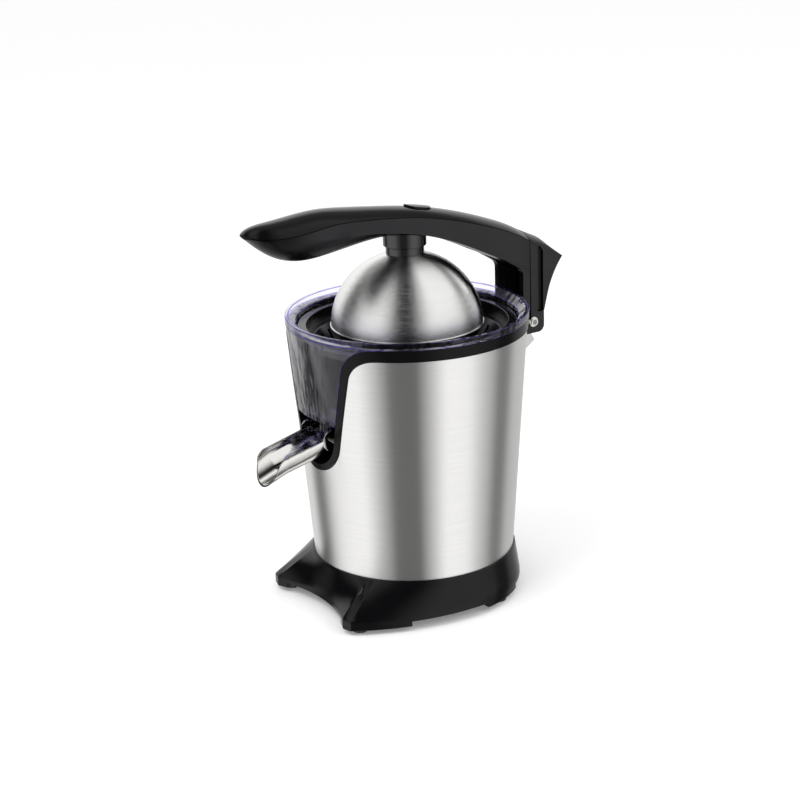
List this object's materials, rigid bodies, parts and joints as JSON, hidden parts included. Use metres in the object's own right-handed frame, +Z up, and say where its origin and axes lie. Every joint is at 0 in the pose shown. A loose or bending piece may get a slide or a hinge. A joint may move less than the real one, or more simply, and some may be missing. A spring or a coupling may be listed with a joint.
{
  "type": "lever citrus juicer",
  "caption": "Electric citrus juicer: tapered steel housing on a black flared base, lever-pressed steel dome over a ribbed cone, clear bowl and tilting pouring spout.",
  "frame": {"origin": "on the floor below the spindle axis, between the four feet", "axes": "+Z up along the spindle axis, -Y forward through the spout, +Y to the lever hinge, +X to the right of someone who faces +Y"},
  "size_m": [0.17, 0.2495, 0.2849],
  "materials": {
    "brushed_steel": "fine brushed",
    "polished_steel": "polished",
    "black_gloss": "gloss moulded",
    "clear_plastic": "clear moulded",
    "dark_plastic": "satin moulded",
    "nylon": "moulded nylon",
    "bracket_alloy": "satin cast",
    "rubber": "matt",
    "lamination_steel": "bare lamination",
    "copper": "enamelled copper",
    "bronze": "sintered",
    "carbon": "pressed carbon"
  },
  "bodies": {
    "body": {"base": "black_gloss", "rubber_feet": "rubber", "bottom_plate": "dark_plastic", "cord_gland": "rubber", "housing_shell": "brushed_steel", "inner_housing": "black_gloss", "juice_bowl": "clear_plastic", "strainer": "dark_plastic", "spout_pins": "polished_steel", "hinge_bracket": "bracket_alloy", "bracket_screws": "polished_steel", "hinge_pin": "polished_steel", "tie_rods": "polished_steel", "gear_plate": "bracket_alloy", "gearbox_cover": "nylon", "gear_axle": "polished_steel", "spindle_bushes": "bronze", "spindle_seal": "rubber", "plunge_spring": "polished_steel", "start_switch": "dark_plastic", "field_core": "lamination_steel", "field_coils": "copper", "motor_bridge": "bracket_alloy", "motor_bushes": "bronze", "motor_bolts": "polished_steel", "brush_holders": "dark_plastic", "carbon_brushes": "carbon"},
    "lever": {"lever_top_shell": "black_gloss", "lever_lower_shell": "black_gloss", "lever_fork": "black_gloss", "lever_back_cover": "black_gloss", "lever_screws": "polished_steel", "fork_screws": "polished_steel", "hinge_bushes": "polished_steel", "dome_collar": "black_gloss", "dome_hub": "black_gloss", "press_dome": "brushed_steel", "dome_nut": "dark_plastic", "button_spring": "polished_steel"},
    "release_button": {"release_button": "black_gloss"},
    "spout": {"spout": "polished_steel"},
    "plunger": {"thrust_cup": "nylon"},
    "drive_spindle": {"spindle": "polished_steel", "output_gear": "nylon", "reamer_cone": "dark_plastic"},
    "switch_button": {"switch_button": "nylon"},
    "compound_gear": {"compound_gear": "nylon"},
    "armature": {"armature_shaft": "polished_steel", "armature_core": "lamination_steel", "armature_windings": "copper", "commutator": "copper", "motor_pinion": "bronze", "cooling_fan": "nylon"}
  },
  "joints": [
    {"name": "lever_hinge", "type": "hinge", "parent": "body", "child": "lever", "pos_m": [0, 0.0985, 0.181], "axis": [-1, 0, 0], "range_deg": [0, 90]},
    {"name": "button_press", "type": "slide", "parent": "lever", "child": "release_button", "axis": [0, 0, -1], "range_m": [0, 0.0025], "stiffness_N_per_m": 400, "springref_m": -0.002, "deforming": ["button_spring"]},
    {"name": "spout_tilt", "type": "hinge", "parent": "body", "child": "spout", "pos_m": [0, -0.074, 0.129], "axis": [-1, 0, 0], "range_deg": [0, 20]},
    {"name": "cone_plunge", "type": "slide", "parent": "body", "child": "plunger", "axis": [0, 0, -1], "range_m": [0, 0.0025], "stiffness_N_per_m": 1500, "springref_m": -0.004, "deforming": ["plunge_spring"]},
    {"name": "cone_spin", "type": "hinge", "parent": "plunger", "child": "drive_spindle", "pos_m": [0, 0, 0.1], "axis": [0, 0, 1], "continuous": true},
    {"name": "switch_press", "type": "slide", "parent": "body", "child": "switch_button", "axis": [0, 0, -1], "range_m": [0, 0.0025]},
    {"name": "compound_spin", "type": "hinge", "parent": "body", "child": "compound_gear", "pos_m": [0, 0.045, 0.1], "axis": [0, 0, 1], "continuous": true},
    {"name": "armature_spin", "type": "hinge", "parent": "body", "child": "armature", "pos_m": [0, 0.018, 0.06], "axis": [0, 0, 1], "continuous": true}
  ],
  "couplings": [
    {"joint": "switch_press", "follows": "cone_plunge", "ratio": 1},
    {"joint": "compound_spin", "follows": "cone_spin", "ratio": -4},
    {"joint": "armature_spin", "follows": "cone_spin", "ratio": 14}
  ]
}
